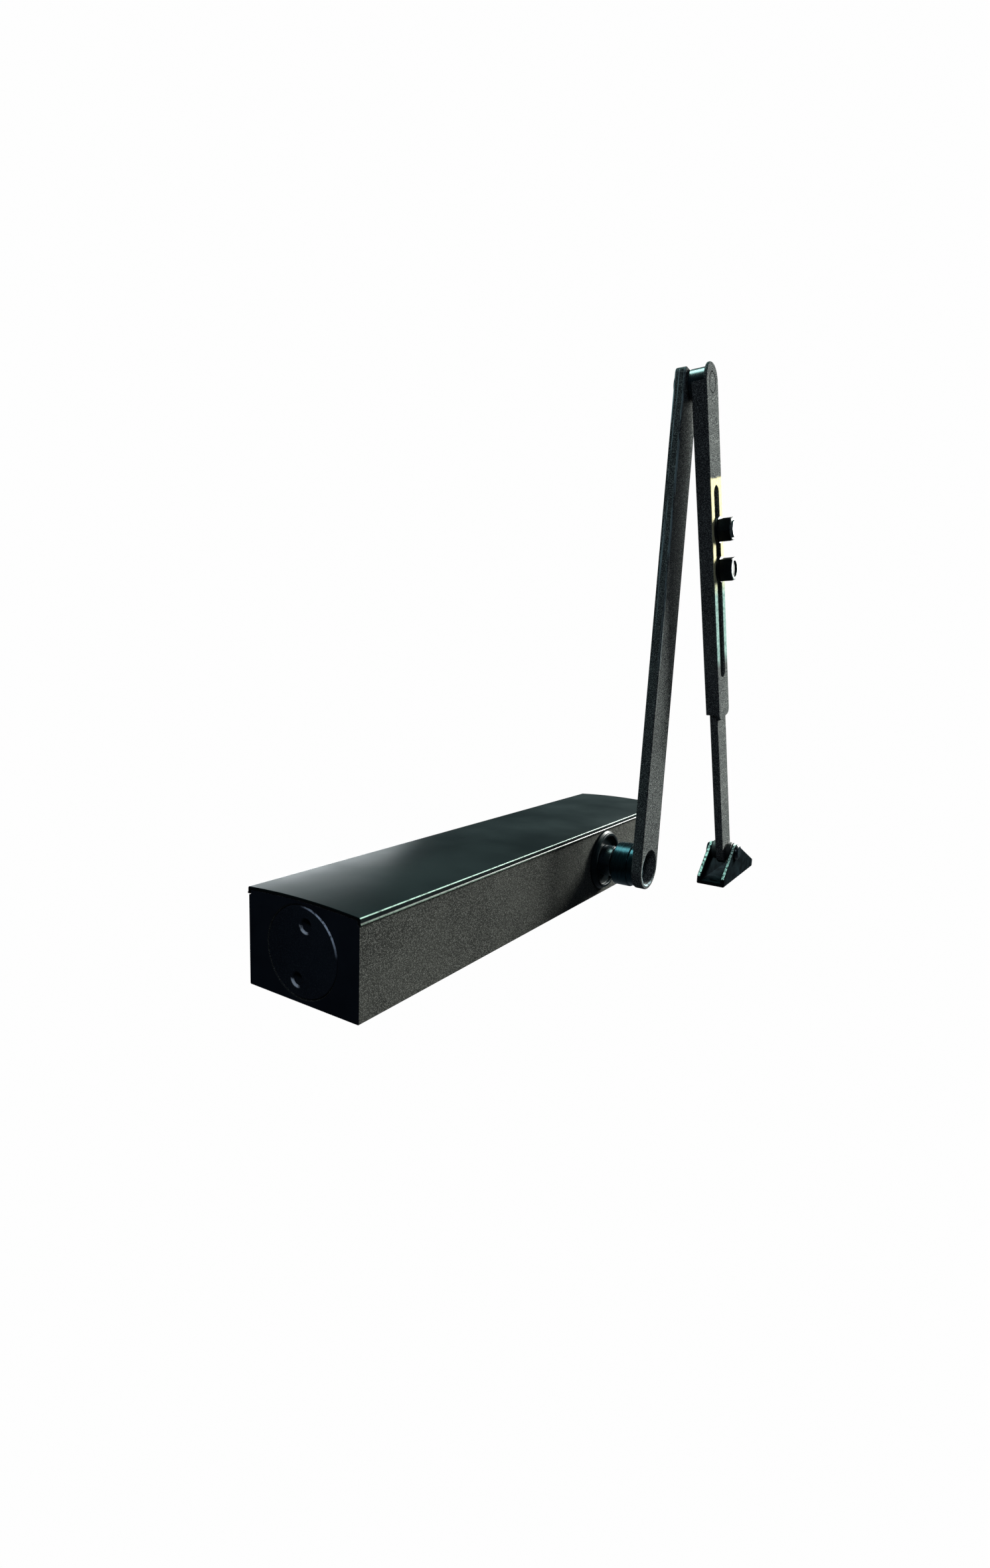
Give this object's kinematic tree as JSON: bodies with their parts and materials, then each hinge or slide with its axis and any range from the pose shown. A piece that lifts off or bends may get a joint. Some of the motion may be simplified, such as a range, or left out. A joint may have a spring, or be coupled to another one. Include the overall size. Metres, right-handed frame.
{
  "type": "door closer",
  "caption": "Surface-mounted hydraulic door closer: long box body with rack-and-pinion drive inside, main arm on the spindle and a length-adjustable forearm ending in a foot bracket.",
  "frame": {"origin": "middle of the body's flat mounting face, which lies on z = 0", "axes": "+X along the body towards the end with the speed valves, +Z out of the mounting face, -Y towards the arm side of the spindle"},
  "size_m": [0.3364, 0.1283, 0.2926],
  "materials": {
    "body_paint": "satin textured black powder coat on cast aluminium",
    "cover_paint": "smooth satin black paint on rolled aluminium sheet",
    "arm_paint": "fine-grained black finish on steel",
    "black_oxide": "glossy black coating on steel",
    "bright_steel": "machined and zinc-plated steel",
    "bronze": "sintered bearing bronze",
    "spring_steel": "oil-tempered spring wire",
    "rubber": "black nitrile rubber",
    "nylon": "matt black nylon"
  },
  "bodies": {
    "housing": {"housing": "body_paint", "front_cover": "cover_paint", "end_plug_plain": "body_paint", "end_plug_valve": "body_paint", "plug_ring_plain": "rubber", "plug_ring_valve": "rubber", "bearing_arm_side": "bronze", "bearing_cap_side": "bronze", "spindle_seal_arm_side": "rubber", "spindle_seal_cap_side": "rubber", "collar_arm_side": "black_oxide", "collar_cap_side": "black_oxide", "spindle_cap": "nylon", "main_spring": "spring_steel"},
    "piston": {"rack_piston": "bright_steel", "piston_seal": "rubber", "check_valve_ball": "bright_steel", "check_valve_retainer": "bright_steel"},
    "spindle": {"pinion_spindle": "bright_steel", "main_arm": "arm_paint", "arm_washer": "black_oxide", "arm_screw": "black_oxide", "elbow_pin": "black_oxide"},
    "forearm": {"forearm_channel": "arm_paint", "elbow_bush": "black_oxide"},
    "rod": {"forearm_rod": "arm_paint", "clamp_washer_upper": "black_oxide", "clamp_washer_lower": "black_oxide", "clamp_bolt_upper": "bright_steel", "clamp_bolt_lower": "bright_steel"},
    "foot": {"foot_bracket": "black_oxide", "foot_pin": "bright_steel", "foot_spacer_outer": "nylon", "foot_spacer_inner": "nylon"},
    "closing_valve": {"closing_valve": "bright_steel", "closing_valve_ring": "rubber"},
    "latching_valve": {"latching_valve": "bright_steel", "latching_valve_ring": "rubber"}
  },
  "joints": [
    {"name": "spindle_turn", "type": "hinge", "parent": "housing", "child": "spindle", "pos_m": [0.0587, 0, 0.0208], "axis": [0, 1, 0], "range_deg": [0, 170], "stiffness_Nm_per_rad": 6, "springref_deg": -45.84},
    {"name": "piston_slide", "type": "slide", "parent": "housing", "child": "piston", "axis": [1, 0, 0], "range_m": [-0.024, 0], "deforming": ["main_spring"]},
    {"name": "elbow_pivot", "type": "hinge", "parent": "spindle", "child": "forearm", "pos_m": [0.06994, -0.0591, 0.28236], "axis": [-0.011, -0.9991, 0.0404], "range_deg": [-15, 160]},
    {"name": "forearm_length", "type": "slide", "parent": "forearm", "child": "rod", "axis": [0.2613, -0.0419, -0.9644], "range_m": [-0.019, 0.0575]},
    {"name": "foot_pivot", "type": "hinge", "parent": "rod", "child": "foot", "pos_m": [0.1414, -0.07768, 0.0186], "axis": [0, 1, 0], "range_deg": [-80, 80]},
    {"name": "closing_valve_turn", "type": "hinge", "parent": "housing", "child": "closing_valve", "pos_m": [0.14, -0.0243, 0.0208], "axis": [1, 0, 0], "range_deg": [-360, 360]},
    {"name": "latching_valve_turn", "type": "hinge", "parent": "housing", "child": "latching_valve", "pos_m": [0.14, 0.0243, 0.0208], "axis": [1, 0, 0], "range_deg": [-360, 360]}
  ],
  "couplings": [
    {"joint": "piston_slide", "follows": "spindle_turn", "m_per_rad": -0.008}
  ]
}
